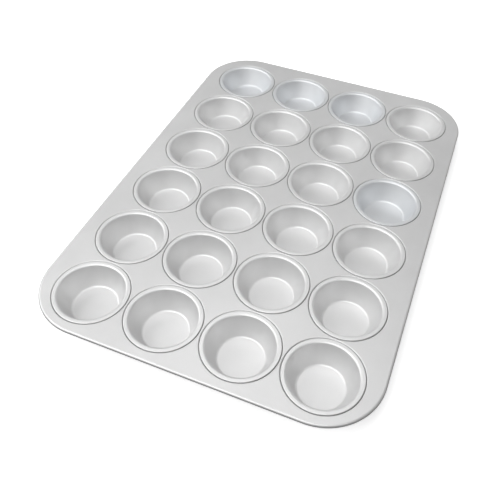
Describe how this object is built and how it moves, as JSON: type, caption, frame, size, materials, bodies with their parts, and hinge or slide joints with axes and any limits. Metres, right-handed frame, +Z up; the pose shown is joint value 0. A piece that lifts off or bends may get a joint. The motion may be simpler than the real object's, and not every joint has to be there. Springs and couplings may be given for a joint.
{
  "type": "muffin tin",
  "caption": "Round-cornered baking tray with a grid of small tapered cups seamed into a flat deck, its edge rolled round a wire.",
  "frame": {"origin": "on the plane that the cup bottoms stand on, in the middle of the deck's outline", "axes": "+Z up, out of the cups' mouths; +Y along the row of six cups, the long side; +X along the row of four cups"},
  "size_m": [0.2736, 0.392, 0.0189],
  "materials": {
    "deck_aluminium": "satin silver anodised sheet, very fine even grain",
    "cup_aluminium": "satin silver anodised, drawn, softly matte inside",
    "cup_aluminium_cool": "satin silver anodised, slightly cooler in tone than the other cups",
    "wire_steel": "plain bright drawn wire, hidden in the rolled rim"
  },
  "bodies": {
    "root": {"deck": "deck_aluminium", "rim_wire": "wire_steel", "cup_r1_c1": "cup_aluminium", "cup_r1_c2": "cup_aluminium", "cup_r1_c3": "cup_aluminium", "cup_r1_c4": "cup_aluminium", "cup_r2_c1": "cup_aluminium", "cup_r2_c2": "cup_aluminium", "cup_r2_c3": "cup_aluminium", "cup_r2_c4": "cup_aluminium", "cup_r3_c1": "cup_aluminium", "cup_r3_c2": "cup_aluminium", "cup_r3_c3": "cup_aluminium", "cup_r3_c4": "cup_aluminium", "cup_r4_c1": "cup_aluminium", "cup_r4_c2": "cup_aluminium", "cup_r4_c3": "cup_aluminium", "cup_r4_c4": "cup_aluminium_cool", "cup_r5_c1": "cup_aluminium", "cup_r5_c2": "cup_aluminium", "cup_r5_c3": "cup_aluminium", "cup_r5_c4": "cup_aluminium", "cup_r6_c1": "cup_aluminium_cool", "cup_r6_c2": "cup_aluminium_cool", "cup_r6_c3": "cup_aluminium_cool", "cup_r6_c4": "cup_aluminium"}
  },
  "joints": []
}
